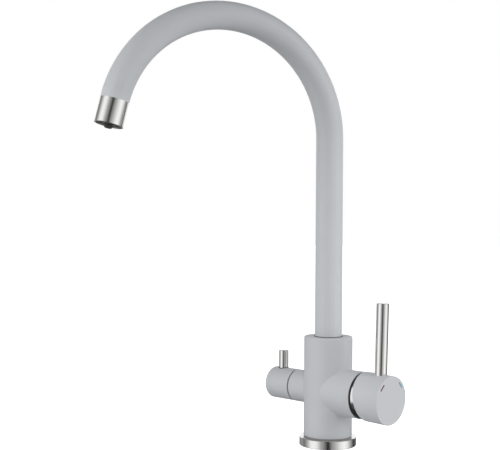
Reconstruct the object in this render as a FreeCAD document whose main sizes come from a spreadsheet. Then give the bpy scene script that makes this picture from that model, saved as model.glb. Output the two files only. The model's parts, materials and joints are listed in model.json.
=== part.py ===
"""Three-way kitchen mixer tap with a swan-neck spout.

Z is up and the origin is the centre of the deck face, where the base ring rests on the worktop.
The handle axis runs along X, with the mixing handle at +X and the filter handle at -X, and the
front of the tap is -Y. The spout stands swung a little towards the filter handle.
Lengths are in millimetres and angles in degrees.
"""
import FreeCAD
import Part
import math
import os
import re
import Sketcher

Vector = FreeCAD.Vector

DIMENSIONS = {
    # column and its two branches
    "body_radius": 22.4,
    "body_foot": 4.0,
    "body_top": 100.4,
    "edge_round": 0.8,
    "crease_round": 2.0,
    "handle_height": 50.5,
    "branch_radius": 21.3,
    "branch_end": 41.0,
    "branch_edge": 0.4,
    # waterways in the casting, and the sockets that take the hoses
    "socket_top": 27.0,
    "port_radius": 4.5,
    "port_depth": 10.5,
    "port_floor": 1.5,
    "port_outer": 6.0,
    "port_spigot": 4.0,
    "port_spigot_length": 6.0,
    "port_circle": 7.24,
    "way_radius": 2.6,
    "way_side": 6.3,
    "way_forward": 3.6,
    "inlet_rise": 4.5,
    "outlet_drop": 8.0,
    "outlet_place": 8.6,
    "swivel_floor": 72.0,
    "swivel_bore": 12.9,
    "riser_radius": 2.5,
    "riser_mouth": 5.5,
    "riser_mouth_depth": 6.0,
    "filter_way_rise": 6.0,
    "filter_way_drop": 5.0,
    # base ring and the fixing to the worktop
    "ring_radius": 26.3,
    "ring_height": 8.0,
    "ring_edge": 0.9,
    "ring_fit": 0.15,
    "foot_radius": 21.3,
    "body_seal_top": 9.2,
    "body_seal_radius": 22.1,
    "ring_hole": 17.2,
    "gasket_inner": 18.6,
    "gasket_outer": 21.6,
    "gasket_height": 2.0,
    "shank_radius": 16.5,
    "shank_bore": 13.5,
    "shank_top": 14.5,
    "shank_end": 58.0,
    "shank_tail": 8.0,
    "shank_tail_radius": 16.0,
    "shank_lead": 0.9,
    "grip": 34.0,
    "washer_inner": 16.8,
    "washer_outer": 25.0,
    "rubber_thickness": 3.0,
    "steel_thickness": 2.0,
    "nut_height": 10.0,
    "nut_flat": 21.0,
    "nut_corner_round": 22.8,
    "nut_corner_reach": 3.0,
    # small sizes used throughout
    "piece_play": 0.1,
    "cut_over": 1.0,
    "screw_edge": 0.4,
    # mixing cartridge, sizes along X and across it
    "seat": 12.5,
    "cartridge_bore": 17.6,
    "cartridge_radius": 17.4,
    "cartridge_shoulder": 35.0,
    "cartridge_cavity": 15.4,
    "cartridge_base": 4.5,
    "base_spigot": 1.5,
    "seal_radius": 4.2,
    "seal_thickness": 1.2,
    "disc_radius": 14.8,
    "disc_thickness": 2.7,
    "disc_gap": 0.05,
    "moving_disc_radius": 11.5,
    "moving_disc_thickness": 2.95,
    "chamber_radius": 5.2,
    "chamber_depth": 1.5,
    "chamber_drop": 4.6,
    "carrier_end": 28.1,
    "carrier_slot": 5.5,
    "flange_start": 28.2,
    "flange_end": 32.8,
    "flange_radius": 15.2,
    "housing_wall": 33.0,
    "collar_end": 39.5,
    "collar_radius": 13.2,
    "collar_hole": 11.6,
    "rotor_radius": 11.55,
    "rotor_end": 43.0,
    "rotor_slot_width": 7.2,
    "rotor_slot_height": 12.6,
    "pivot": 39.0,
    "pin_radius": 1.5,
    "pin_play": 0.05,
    "pin_length": 22.4,
    "stem_width": 7.0,
    "stem_height": 8.0,
    "stem_back": 35.2,
    "stem_end": 66.0,
    "spoon_arm": 12.0,
    "spoon_radius": 2.1,
    "spoon_ball": 2.5,
    "nut_thread": 18.9,
    "nut_hole": 13.4,
    "nut_boss": 17.7,
    "nut_boss_end": 43.0,
    "dome_radius": 19.2,
    "dome_inner": 17.9,
    "dome_bore": 17.8,
    "dome_hole": 11.5,
    # mixing handle, which stands a little open
    "lever_tilt": 1.43,
    "hub_radius": 21.85,
    "hub_face": 72.5,
    "hub_edge": 0.6,
    "hub_cavity": 20.0,
    "hub_gap_top": 1.8,
    "hub_gap_bottom": 9.7,
    "hub_rear_reach": 4.0,
    "rod_place": 60.4,
    "rod_radius": 5.55,
    "rod_bottom": 14.0,
    "rod_top": 85.2,
    "rod_edge": 0.3,
    "grub_place": 63.0,
    "grub_radius": 2.5,
    "grub_length": 8.0,
    "key_socket": 1.25,
    "key_depth": 2.5,
    "mark_angle": 45.5,
    "mark_distance": 18.2,
    "mark_length": 6.6,
    "mark_width": 1.1,
    "mark_depth": 0.4,
    "mark_proud": 0.1,
    # filter valve, sizes along -X and across it
    "filter_radius": 14.95,
    "filter_branch_end": 37.1,
    "filter_seat": 14.0,
    "filter_bore": 10.5,
    "filter_thread": 11.4,
    "filter_thread_start": 27.0,
    "filter_seal_thickness": 1.5,
    "filter_disc_thickness": 3.0,
    "filter_disc_radius": 7.4,
    "filter_disc_way": 1.8,
    "filter_disc_way_rise": 5.0,
    "filter_cavity": 7.6,
    "filter_flange": 2.5,
    "headwork_front": 35.0,
    "headwork_end": 42.0,
    "spindle_radius": 4.0,
    "spindle_bore": 4.05,
    "spindle_end": 52.5,
    "filter_handle_start": 38.3,
    "filter_handle_end": 66.9,
    "filter_handle_round": 1.75,
    "filter_handle_cavity": 12.6,
    "filter_cavity_end": 46.2,
    "joint_ring_radius": 13.9,
    "filter_rod_place": 56.0,
    "filter_rod_radius": 4.5,
    "filter_rod_bottom": 6.5,
    "filter_rod_top": 31.8,
    "filter_grub_place": 48.8,
    "filter_grub_radius": 2.0,
    # spout, sizes in its own upright plane
    "spout_swing": -19.9,
    "tube_radius": 12.5,
    "tube_wall": 1.5,
    "tube_foot": 98.0,
    "arc_radius": 105.6,
    "arc_height": 282.4,
    "arc_sweep": 165.9,
    "foot_bottom": 72.4,
    "foot_top": 108.0,
    "foot_bore": 7.5,
    "groove_depth": 1.9,
    "slide_ring_height": 2.2,
    "slide_ring_radius": 12.85,
    "slide_ring_low": 73.4,
    "slide_ring_high": 94.6,
    "o_ring_radius": 1.1,
    "o_ring_low": 77.9,
    "o_ring_high": 90.6,
    "o_ring_groove": 2.6,
    "lock_groove": 83.8,
    "lock_groove_height": 5.8,
    "lock_screw_reach": 11.1,
    "lock_screw_length": 8.5,
    "water_tube_radius": 4.0,
    "water_tube_wall": 1.0,
    "water_tube_foot": 67.0,
    "small_o_ring": 0.72,
    "small_o_ring_height": 69.5,
    # aerator, sizes along the spout's outflow
    "aerator_length": 21.6,
    "aerator_edge": 0.35,
    "aerator_spigot": 7.0,
    "aerator_bore": 9.6,
    "aerator_recess": 11.2,
    "aerator_ledge": 12.0,
    "washer_thickness": 1.0,
    "washer_bore": 9.8,
    "insert_top": 13.0,
    "insert_face": 20.9,
    "nozzle_radius": 3.4,
    "nozzle_flange": 4.6,
    "nozzle_top": 9.0,
    "nozzle_shoulder": 13.0,
    "nozzle_seat": 12.0,
    "nozzle_end": 24.2,
    "nozzle_edge": 0.5,
    "nozzle_bore": 2.3,
    "jet_circle": 7.9,
    "jet_radius": 0.95,
}
JET_HOLES = 18

doc = FreeCAD.newDocument("mixer_tap")
sheet = doc.addObject("Spreadsheet::Sheet", "dims")
for row, (alias, number) in enumerate(DIMENSIONS.items(), start=1):
    sheet.set(f"A{row}", alias)
    sheet.set(f"B{row}", str(number))
    sheet.setAlias(f"B{row}", alias)
doc.recompute()


def bound(formula):
    """Turn a formula of dimension names into an expression on the sheet."""
    return re.sub("[a-z_]+", lambda word: refer(word.group()), formula)


def refer(word):
    return f"dims.{word}" if word in DIMENSIONS else word


def value(formula):
    """Return what a formula comes to now."""
    result = sheet.evalExpression(bound(formula))
    return float(getattr(result, "Value", result))


def new_body(name):
    body = doc.addObject("PartDesign::Body", name)
    body.Label = name
    return body


def place(body, where=("0", "0", "0"), turn=("0", "0", "0")):
    """Bind a body's place, and its turn as yaw, pitch and roll."""
    spot = "; ".join(bound(part) for part in where)
    angles = "; ".join(bound(part) for part in turn)
    body.setExpression(
        "Placement",
        f"create(<<placement>>; create(<<vector>>; {spot}); create(<<rotation>>; {angles}))",
    )


def new_sketch(body, plane, shift=None, turn=None):
    """Attach a sketch to one of the body's own planes, shifted and turned in that plane's frame."""
    sketch = body.newObject("Sketcher::SketchObject", f"{body.Name}_sketch")
    support = next(item for item in body.Origin.OriginFeatures if item.Role == f"{plane}_Plane")
    sketch.AttachmentSupport = (support, [""])
    sketch.MapMode = "FlatFace"
    if turn:
        axis, angle = turn
        sketch.AttachmentOffset = FreeCAD.Placement(Vector(), FreeCAD.Rotation(axis, 1))
        sketch.setExpression(".AttachmentOffset.Rotation.Angle", f"{bound(angle)} * 1deg")
    for letter, formula in zip("xyz", shift or ()):
        sketch.setExpression(f".AttachmentOffset.Base.{letter}", bound(formula))
    return sketch


def fix(sketch, kind, references, formula):
    """Add a constraint that holds one measure at a formula."""
    number = sketch.addConstraint(Sketcher.Constraint(kind, *references, value(formula)))
    if any(word in DIMENSIONS for word in re.findall("[a-z_]+", formula)):
        sketch.setExpression(f"Constraints[{number}]", bound(formula))


def arc_between(start, end, radius):
    """Arc of less than a half turn: it bends left of the way it runs for a positive radius."""
    chord = end - start
    half = chord.Length / 2
    rise = abs(radius) - math.sqrt(max(radius * radius - half * half, 0))
    side = Vector(chord.y, -chord.x, 0).normalize() * math.copysign(rise, radius)
    return Part.Arc(start, (start + end) / 2 + side, end)


def outline(sketch, corners):
    """Close a profile through corners (u, v). A third value makes the run into it an arc."""
    points = [Vector(value(corner[0]), value(corner[1]), 0) for corner in corners]
    ends = []
    for number, corner in enumerate(corners):
        start, end = points[number - 1], points[number]
        if len(corner) == 3:
            sketch.addGeometry(arc_between(start, end, value(corner[2])))
        else:
            sketch.addGeometry(Part.LineSegment(start, end))
        forward = (sketch.getPoint(number, 2) - end).Length < 1e-6
        ends.append((1, 2) if forward else (2, 1))
    for number, corner in enumerate(corners):
        following = (number + 1) % len(corners)
        joint = (number, ends[number][1], following, ends[following][0])
        sketch.addConstraint(Sketcher.Constraint("Coincident", *joint))
    for number, corner in enumerate(corners):
        handle = (-1, 1, number, ends[number][1])
        fix(sketch, "DistanceX", handle, corner[0])
        fix(sketch, "DistanceY", handle, corner[1])
        if len(corner) == 3:
            fix(sketch, "Radius", (number,), corner[2].lstrip("-"))


def circles(sketch, rounds):
    """Draw circles, each given as centre and radius."""
    for number, (across, along, radius) in enumerate(rounds):
        centre = Vector(value(across), value(along), 0)
        sketch.addGeometry(Part.Circle(centre, Vector(0, 0, 1), value(radius)))
        fix(sketch, "DistanceX", (-1, 1, number, 3), across)
        fix(sketch, "DistanceY", (-1, 1, number, 3), along)
        fix(sketch, "Radius", (number,), radius)


def box_outline(sketch, middle, width, height):
    """Draw a rectangle about a middle point."""
    across, along = middle
    left, right = f"{across} - {width} / 2", f"{across} + {width} / 2"
    low, high = f"{along} - {height} / 2", f"{along} + {height} / 2"
    outline(sketch, [(left, low), (right, low), (right, high), (left, high)])


def spin(body, sketch, axis, cut=False):
    """Turn a profile about the sketch's own horizontal or vertical axis."""
    feature = body.newObject("PartDesign::Groove" if cut else "PartDesign::Revolution", "turned")
    feature.Profile = sketch
    feature.ReferenceAxis = (sketch, [axis])
    feature.Angle = 360
    settle(body, feature, cut)
    return feature


def extrude(body, sketch, length, cut=False, backwards=False, both=False):
    """Pad or pocket a profile. A pocket runs against the sketch's normal unless backwards."""
    feature = body.newObject("PartDesign::Pocket" if cut else "PartDesign::Pad", "straight")
    feature.Profile = sketch
    feature.setExpression("Length", bound(length))
    feature.Reversed = backwards
    if both:
        feature.SideType = "Symmetric"
    settle(body, feature, cut)
    return feature


def settle(body, feature, cut):
    """Recompute, and check that a cut took something away."""
    before = feature.BaseFeature.Shape.Volume if feature.BaseFeature else 0.0
    doc.recompute()
    if cut and feature.Shape.Volume > before - 1e-3:
        raise RuntimeError(f"{body.Label}: a cut took nothing away")


def on_lever(body, along="0", above="0", roll="0"):
    """Set a body on the mixing lever, at a place along the lever's own axis and above it."""
    turn = "lever_tilt * 1deg"
    forward = f"pivot + ({along} - pivot) * cos({turn}) + ({above}) * sin({turn})"
    height = f"handle_height - ({along} - pivot) * sin({turn}) + ({above}) * cos({turn})"
    place(body, (forward, "0", height), ("0", "lever_tilt", roll))


def turned_on_z(name, corners):
    """Body turned about Z from a profile of radius and height."""
    body = new_body(name)
    sketch = new_sketch(body, "XZ")
    outline(sketch, corners)
    spin(body, sketch, "V_Axis")
    return body


def turned_on_x(name, corners, facing=1):
    """Body turned about the handle axis, from a profile of place and radius."""
    body = new_body(name)
    sketch = new_sketch(body, "XZ")
    outline(sketch, corners)
    spin(body, sketch, "H_Axis")
    place(body, ("0", "0", "handle_height"), ("0" if facing > 0 else "180", "0", "0"))
    return body


def rings(name, heights, centre_radius, ring_radius):
    """Round rubber rings about Z, one solid at each height."""
    solids = []
    for number, height in enumerate(heights):
        torus = doc.addObject("Part::Torus", f"{name}_{number}")
        torus.setExpression("Radius1", bound(centre_radius))
        torus.setExpression("Radius2", bound(ring_radius))
        torus.setExpression("Placement.Base.z", bound(height))
        solids.append(torus)
    doc.recompute()
    return solids


def group(name, members):
    """One sub-part of several separate solids."""
    compound = doc.addObject("Part::Compound", name)
    compound.Label = name
    compound.Links = members
    return compound


def edges_on(shape, test):
    """Names of the edges whose points all pass a test."""
    names = []
    for number, edge in enumerate(shape.Edges, start=1):
        points = edge.discretize(7)
        if all(test(point) for point in points):
            names.append(f"Edge{number}")
    return names


HANDLE_AXIS = ("0", "handle_height", "0")
INLETS = (("way_forward", "-way_side"), ("way_forward", "way_side"), ("-port_circle", "0"))


def make_body():
    """Cast column with a branch each side, bored for the valves, the spout and the waterways."""
    body = new_body("body")
    column = new_sketch(body, "XZ")
    outline(column, [
        ("0", "socket_top"),
        ("shank_radius", "socket_top"),
        ("shank_radius", "body_foot"),
        ("foot_radius", "body_foot"),
        ("foot_radius", "body_seal_top"),
        ("body_radius", "body_seal_top"),
        ("body_radius", "body_top - edge_round"),
        ("body_radius - edge_round", "body_top", "edge_round"),
        ("swivel_bore", "body_top"),
        ("swivel_bore", "swivel_floor"),
        ("0", "swivel_floor"),
    ])
    spin(body, column, "V_Axis")
    for radius, end, side in (("branch_radius", "branch_end", ""),
                              ("filter_radius", "filter_branch_end", "-1 * ")):
        branch = new_sketch(body, "XZ", HANDLE_AXIS)
        outline(branch, [
            ("0", "0"),
            (f"{side}{end}", "0"),
            (f"{side}{end}", f"{radius} - branch_edge"),
            (f"{side}({end} - branch_edge)", radius),
            ("0", radius),
        ])
        trunk = spin(body, branch, "H_Axis")
    round_creases(body, trunk)
    bore_for_cartridge(body)
    bore_for_filter_valve(body)
    drill_waterways(body)
    screw_hole = new_sketch(body, "XZ", ("0", "lock_groove", "0"))
    circles(screw_hole, [("0", "0", "grub_radius")])
    extrude(body, screw_hole, "body_radius + cut_over", cut=True)
    return body


def round_creases(body, trunk):
    """Round the two creases where the branches leave the column."""
    column, height = value("body_radius"), value("handle_height")
    radii = (value("branch_radius"), value("filter_radius"))

    def on_crease(point):
        from_column = abs(math.hypot(point.x, point.y) - column) < 1e-3
        reach = math.hypot(point.y, point.z - height)
        return from_column and min(abs(reach - radius) for radius in radii) < 1e-3

    fillet = body.newObject("PartDesign::Fillet", "creases")
    fillet.Base = (trunk, edges_on(trunk.Shape, on_crease))
    fillet.setExpression("Radius", bound("crease_round"))
    doc.recompute()


def bore_for_cartridge(body):
    sketch = new_sketch(body, "XZ", HANDLE_AXIS)
    outline(sketch, [
        ("seat", "0"),
        ("branch_end", "0"),
        ("branch_end", "nut_thread"),
        ("cartridge_shoulder", "nut_thread"),
        ("cartridge_shoulder", "cartridge_bore"),
        ("seat", "cartridge_bore"),
    ])
    spin(body, sketch, "H_Axis", cut=True)


def bore_for_filter_valve(body):
    sketch = new_sketch(body, "XZ", HANDLE_AXIS)
    outline(sketch, [
        ("-filter_seat", "0"),
        ("-filter_branch_end", "0"),
        ("-filter_branch_end", "filter_thread"),
        ("-filter_thread_start", "filter_thread"),
        ("-filter_thread_start", "filter_bore"),
        ("-filter_seat", "filter_bore"),
    ])
    spin(body, sketch, "H_Axis", cut=True)


def drill_waterways(body):
    """Hot, cold and filtered ways up from the sockets, and the mixed and filtered ways to the spout."""
    spigots = new_sketch(body, "XY", ("0", "0", "socket_top"))
    circles(spigots, [(*inlet, "port_spigot") for inlet in INLETS])
    extrude(body, spigots, "port_spigot_length", cut=True, backwards=True)
    hot, cold, filtered = INLETS
    mixer_ways = new_sketch(body, "XY", ("0", "0", "socket_top"))
    circles(mixer_ways, [(*hot, "way_radius"), (*cold, "way_radius")])
    extrude(body, mixer_ways, "handle_height + inlet_rise - socket_top", cut=True, backwards=True)
    filter_way = new_sketch(body, "XY", ("0", "0", "socket_top"))
    circles(filter_way, [(*filtered, "way_radius")])
    extrude(body, filter_way, "handle_height - filter_way_drop - socket_top", cut=True, backwards=True)
    to_seat = new_sketch(body, "YZ", ("0", "handle_height", "seat"))
    circles(to_seat, [("-way_side", "inlet_rise", "way_radius"), ("way_side", "inlet_rise", "way_radius")])
    extrude(body, to_seat, "seat - way_forward", cut=True)
    from_seat = new_sketch(body, "YZ", ("0", "handle_height", "seat"))
    circles(from_seat, [("0", "-outlet_drop", "way_radius")])
    extrude(body, from_seat, "seat - outlet_place", cut=True)
    mixed = new_sketch(body, "XY", ("0", "0", "swivel_floor"))
    circles(mixed, [("outlet_place", "0", "way_radius")])
    extrude(body, mixed, "swivel_floor - handle_height + outlet_drop", cut=True)
    riser = new_sketch(body, "XY", ("0", "0", "swivel_floor"))
    circles(riser, [("0", "0", "riser_radius")])
    extrude(body, riser, "swivel_floor - handle_height - filter_way_rise", cut=True)
    mouth = new_sketch(body, "XY", ("0", "0", "swivel_floor"))
    circles(mouth, [("0", "0", "riser_mouth")])
    extrude(body, mouth, "riser_mouth_depth", cut=True)
    valve_in = new_sketch(body, "YZ", ("0", "handle_height", "-filter_seat"))
    circles(valve_in, [("0", "-filter_way_drop", "riser_radius")])
    extrude(body, valve_in, "filter_seat - port_circle", cut=True, backwards=True)
    valve_out = new_sketch(body, "YZ", ("0", "handle_height", "-filter_seat"))
    circles(valve_out, [("0", "filter_way_rise", "riser_radius")])
    extrude(body, valve_out, "filter_seat", cut=True, backwards=True)


def make_inlet_sockets():
    """Three threaded sockets for the hoses, each screwed into the casting by its spigot."""
    sockets = []
    for number, (forward, side) in enumerate(INLETS):
        socket = turned_on_z(f"inlet_socket_{number}", [
            ("port_radius", "-port_floor - port_depth"),
            ("port_outer", "-port_floor - port_depth"),
            ("port_outer", "0"),
            ("port_spigot", "0"),
            ("port_spigot", "port_spigot_length"),
            ("way_radius", "port_spigot_length"),
            ("way_radius", "-port_floor"),
            ("port_radius", "-port_floor"),
        ])
        place(socket, (forward, side, "socket_top"))
        sockets.append(socket)
    group("inlet_sockets", sockets)


def make_deck_fixing():
    """Base ring with its two seals, and the shank, washers and nut that clamp the worktop."""
    turned_on_z("base_ring", [
        ("ring_hole", "0"),
        ("gasket_inner", "0"),
        ("gasket_inner", "gasket_height"),
        ("gasket_outer", "gasket_height"),
        ("gasket_outer", "0"),
        ("ring_radius - ring_edge / 3", "0"),
        ("ring_radius", "ring_edge / 3"),
        ("ring_radius", "ring_height - ring_edge"),
        ("ring_radius - ring_edge", "ring_height", "ring_edge"),
        ("foot_radius + ring_fit", "ring_height"),
        ("foot_radius + ring_fit", "body_foot"),
        ("ring_hole", "body_foot"),
    ])
    turned_on_z("body_seal", [
        ("foot_radius + piece_play", "ring_height"),
        ("body_seal_radius", "ring_height"),
        ("body_seal_radius", "body_seal_top"),
        ("foot_radius + piece_play", "body_seal_top"),
    ])
    turned_on_z("base_gasket", [
        ("gasket_inner", "0"),
        ("gasket_outer", "0"),
        ("gasket_outer", "gasket_height"),
        ("gasket_inner", "gasket_height"),
    ])
    turned_on_z("mounting_shank", [
        ("shank_bore", "-shank_end"),
        ("shank_tail_radius", "-shank_end"),
        ("shank_tail_radius", "shank_tail - shank_end"),
        ("shank_radius", "shank_tail - shank_end + shank_lead"),
        ("shank_radius", "shank_top"),
        ("shank_bore", "shank_top"),
    ])
    washer = [("washer_inner", "-grip - rubber_thickness"), ("washer_outer", "-grip - rubber_thickness"),
              ("washer_outer", "-grip"), ("washer_inner", "-grip")]
    turned_on_z("rubber_washer", washer)
    top, bottom = "-grip - rubber_thickness", "-grip - rubber_thickness - steel_thickness"
    plate = [("washer_inner", bottom), ("washer_outer", bottom), ("washer_outer", top), ("washer_inner", top)]
    turned_on_z("steel_washer", plate)
    make_lock_nut(bottom)


def make_lock_nut(top):
    """Hexagon nut with its corners turned down at both faces."""
    nut = new_body("lock_nut")
    hexagon = new_sketch(nut, "XY", ("0", "0", f"{top} - nut_height"))
    corners = []
    for number in range(6):
        angle = 60 * number
        corners.append((f"nut_flat / cos(30deg) * cos({angle}deg)",
                        f"nut_flat / cos(30deg) * sin({angle}deg)"))
    outline(hexagon, corners)
    extrude(nut, hexagon, "nut_height")
    hole = new_sketch(nut, "XY", ("0", "0", top))
    circles(hole, [("0", "0", "shank_radius")])
    extrude(nut, hole, "nut_height", cut=True)
    for face, inward in ((top, "-1"), (f"{top} - nut_height", "1")):
        corner = new_sketch(nut, "XZ")
        outline(corner, [
            ("nut_corner_round", face),
            ("nut_corner_round + nut_corner_reach", face),
            ("nut_corner_round + nut_corner_reach", f"{face} + {inward} * nut_corner_reach * tan(30deg)"),
        ])
        spin(nut, corner, "V_Axis", cut=True)


def seat_holes(body, start, length, radius="way_radius", backwards=False):
    """The three ways through a piece of the cartridge, as the casting's seat has them."""
    sketch = new_sketch(body, "YZ", ("0", "0", start))
    circles(sketch, [("-way_side", "inlet_rise", radius), ("way_side", "inlet_rise", radius),
                     ("0", "-outlet_drop", radius)])
    extrude(body, sketch, length, cut=True, backwards=backwards)


def make_cartridge():
    """Ceramic mixing cartridge: the fixed pieces, the turning rotor, the sliding disc and the stem."""
    base_end = "seat + cartridge_base"
    disc_start = "seat + cartridge_base + base_spigot"
    base = turned_on_x("cartridge_base", [
        ("seat", "0"),
        ("seat", "cartridge_radius"),
        (base_end, "cartridge_radius"),
        (base_end, "cartridge_cavity - piece_play"),
        (disc_start, "cartridge_cavity - piece_play"),
        (disc_start, "0"),
    ])
    seat_holes(base, disc_start, "cartridge_base + base_spigot")
    seat_holes(base, "seat + seal_thickness", "seal_thickness", "seal_radius")
    seals = new_body("cartridge_seals")
    seals.AllowCompound = True
    sketch = new_sketch(seals, "YZ", ("0", "0", "seat"))
    circles(sketch, [("-way_side", "inlet_rise", "seal_radius"), ("-way_side", "inlet_rise", "way_radius"),
                     ("way_side", "inlet_rise", "seal_radius"), ("way_side", "inlet_rise", "way_radius"),
                     ("0", "-outlet_drop", "seal_radius"), ("0", "-outlet_drop", "way_radius")])
    extrude(seals, sketch, "seal_thickness")
    place(seals, ("0", "0", "handle_height"))
    turned_on_x("cartridge_housing", [
        (base_end, "cartridge_radius"),
        ("cartridge_shoulder", "cartridge_radius"),
        ("cartridge_shoulder", "collar_radius"),
        ("collar_end", "collar_radius"),
        ("collar_end", "collar_hole"),
        ("housing_wall", "collar_hole"),
        ("housing_wall", "cartridge_cavity"),
        (base_end, "cartridge_cavity"),
    ])
    fixed = turned_on_x("fixed_ceramic_disc", [
        (disc_start, "0"),
        (disc_start, "disc_radius"),
        (f"{disc_start} + disc_thickness", "disc_radius"),
        (f"{disc_start} + disc_thickness", "0"),
    ])
    seat_holes(fixed, f"{disc_start} + disc_thickness", "disc_thickness")
    moving_start = f"{disc_start} + disc_thickness + disc_gap"
    moving_end = f"{moving_start} + moving_disc_thickness"
    moving = turned_on_x("moving_ceramic_disc", [
        (moving_start, "0"),
        (moving_start, "moving_disc_radius"),
        (moving_end, "moving_disc_radius"),
        (moving_end, "0"),
    ])
    chamber = new_sketch(moving, "YZ", ("0", "0", moving_start))
    circles(chamber, [("0", "-chamber_drop", "chamber_radius")])
    extrude(moving, chamber, "chamber_depth", cut=True, backwards=True)
    carried = ("0", "0", "handle_height + spoon_arm * sin(lever_tilt * 1deg)")
    place(moving, carried)
    carrier = turned_on_x("disc_carrier", [
        (moving_end, "0"),
        (moving_end, "moving_disc_radius"),
        ("carrier_end", "moving_disc_radius"),
        ("carrier_end", "0"),
    ])
    slot = new_sketch(carrier, "YZ", ("0", "0", "carrier_end"))
    box_outline(slot, ("0", "0"), "carrier_slot", "carrier_slot")
    extrude(carrier, slot, "carrier_end", cut=True)
    place(carrier, carried)
    make_rotor()
    make_stem()
    turned_on_x("cartridge_nut", [
        ("cartridge_shoulder", "nut_hole"),
        ("cartridge_shoulder", "nut_thread"),
        ("branch_end", "nut_thread"),
        ("branch_end", "nut_boss"),
        ("nut_boss_end", "nut_boss"),
        ("nut_boss_end", "nut_hole"),
    ])
    outer_start = "sqrt(dome_radius ^ 2 - (branch_end - pivot) ^ 2)"
    inner_start = "sqrt(dome_inner ^ 2 - (nut_boss_end - pivot) ^ 2)"
    turned_on_x("dome_cover", [
        ("branch_end", "dome_bore"),
        ("branch_end", outer_start),
        ("pivot + sqrt(dome_radius ^ 2 - dome_hole ^ 2)", "dome_hole", "-dome_radius"),
        ("pivot + sqrt(dome_inner ^ 2 - dome_hole ^ 2)", "dome_hole"),
        ("nut_boss_end", inner_start, "dome_inner"),
        ("nut_boss_end", "dome_bore"),
    ])


def make_rotor():
    rotor = turned_on_x("cartridge_rotor", [
        ("flange_start", "0"),
        ("flange_start", "flange_radius"),
        ("flange_end", "flange_radius"),
        ("flange_end", "rotor_radius"),
        ("rotor_end", "rotor_radius"),
        ("rotor_end", "0"),
    ])
    slot = new_sketch(rotor, "YZ", ("0", "0", "rotor_end"))
    box_outline(slot, ("0", "0"), "rotor_slot_width", "rotor_slot_height")
    extrude(rotor, slot, "rotor_end - flange_start + cut_over", cut=True)
    cross_hole = new_sketch(rotor, "XZ")
    circles(cross_hole, [("pivot", "0", "pin_radius")])
    extrude(rotor, cross_hole, "pin_length", cut=True, both=True)
    pin = new_body("stem_pin")
    sketch = new_sketch(pin, "XZ")
    circles(sketch, [("pivot", "0", "pin_radius")])
    extrude(pin, sketch, "pin_length", both=True)
    place(pin, ("0", "0", "handle_height"))


def make_stem():
    """Square lever stem that tilts on the pin, with a spoon and ball that push the disc."""
    stem = new_body("cartridge_stem")
    bar = new_sketch(stem, "YZ", ("0", "0", "stem_back"))
    box_outline(bar, ("0", "0"), "stem_width", "stem_height")
    extrude(stem, bar, "stem_end - stem_back")
    ball_place = "pivot - spoon_arm"
    neck = "sqrt(spoon_ball ^ 2 - spoon_radius ^ 2)"
    spoon = new_sketch(stem, "XZ")
    outline(spoon, [
        (f"{ball_place} - spoon_ball", "0"),
        (ball_place, "spoon_ball", "-spoon_ball"),
        (f"{ball_place} + {neck}", "spoon_radius", "-spoon_ball"),
        ("stem_back", "spoon_radius"),
        ("stem_back", "0"),
    ])
    spin(stem, spoon, "H_Axis")
    hole = new_sketch(stem, "XZ")
    circles(hole, [("pivot", "0", "pin_radius + pin_play")])
    extrude(stem, hole, "stem_width + cut_over", cut=True, both=True)
    on_lever(stem)


def make_handle():
    """Round handle with a slanted rear edge, hollowed to swing over the dome."""
    hub = turned_on_x("handle_hub", [
        ("pivot", "hub_cavity", "hub_cavity"),
        ("pivot", "hub_radius"),
        ("hub_face - hub_edge", "hub_radius"),
        ("hub_face", "hub_radius - hub_edge", "-hub_edge"),
        ("hub_face", "0"),
        ("pivot + hub_cavity", "0"),
    ])
    middle = "branch_end + (hub_gap_top + hub_gap_bottom) / 2"
    slant = "(hub_gap_bottom - hub_gap_top) / (2 * hub_radius)"
    reach = "(hub_radius + hub_rear_reach)"
    rear = new_sketch(hub, "XZ")
    outline(rear, [
        ("pivot - hub_rear_reach", f"-{reach}"),
        (f"{middle} + {slant} * {reach}", f"-{reach}"),
        (f"{middle} - {slant} * {reach}", reach),
        ("pivot - hub_rear_reach", reach),
    ])
    extrude(hub, rear, "3 * hub_radius", cut=True, both=True)
    square = new_sketch(hub, "YZ", ("0", "0", "stem_end"))
    box_outline(square, ("0", "0"), "stem_width", "stem_height")
    extrude(hub, square, "stem_end - pivot", cut=True)
    socket = new_sketch(hub, "XY", ("rod_place", "0", "rod_bottom"))
    circles(socket, [("0", "0", "rod_radius")])
    extrude(hub, socket, "hub_radius", cut=True, backwards=True)
    grub = new_sketch(hub, "XY", ("0", "0", "-stem_height / 2"))
    circles(grub, [("grub_place", "0", "grub_radius")])
    extrude(hub, grub, "hub_radius", cut=True)
    for side in ("", "-"):
        recess = new_sketch(hub, "YZ", ("0", "0", "hub_face"), (Vector(0, 0, 1), f"{side}mark_angle"))
        box_outline(recess, ("0", "mark_distance"), "mark_length", "mark_width")
        extrude(hub, recess, "mark_depth", cut=True)
    on_lever(hub)
    rod = turned_on_z("lever_rod", [
        ("0", "rod_bottom"),
        ("rod_radius", "rod_bottom"),
        ("rod_radius", "rod_top - rod_edge"),
        ("rod_radius - rod_edge", "rod_top"),
        ("0", "rod_top"),
    ])
    on_lever(rod, "rod_place")
    on_lever(grub_screw("handle_grub_screw", "grub_radius", "grub_length"),
             "grub_place", "-stem_height / 2", "180")
    for name, side in (("hot_mark", ""), ("cold_mark", "-")):
        mark = new_body(name)
        bar = new_sketch(mark, "YZ", ("0", "0", "hub_face - mark_depth"))
        box_outline(bar, ("0", "mark_distance"), "mark_length", "mark_width")
        extrude(mark, bar, "mark_depth + mark_proud")
        on_lever(mark, roll=f"{side}mark_angle")


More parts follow.
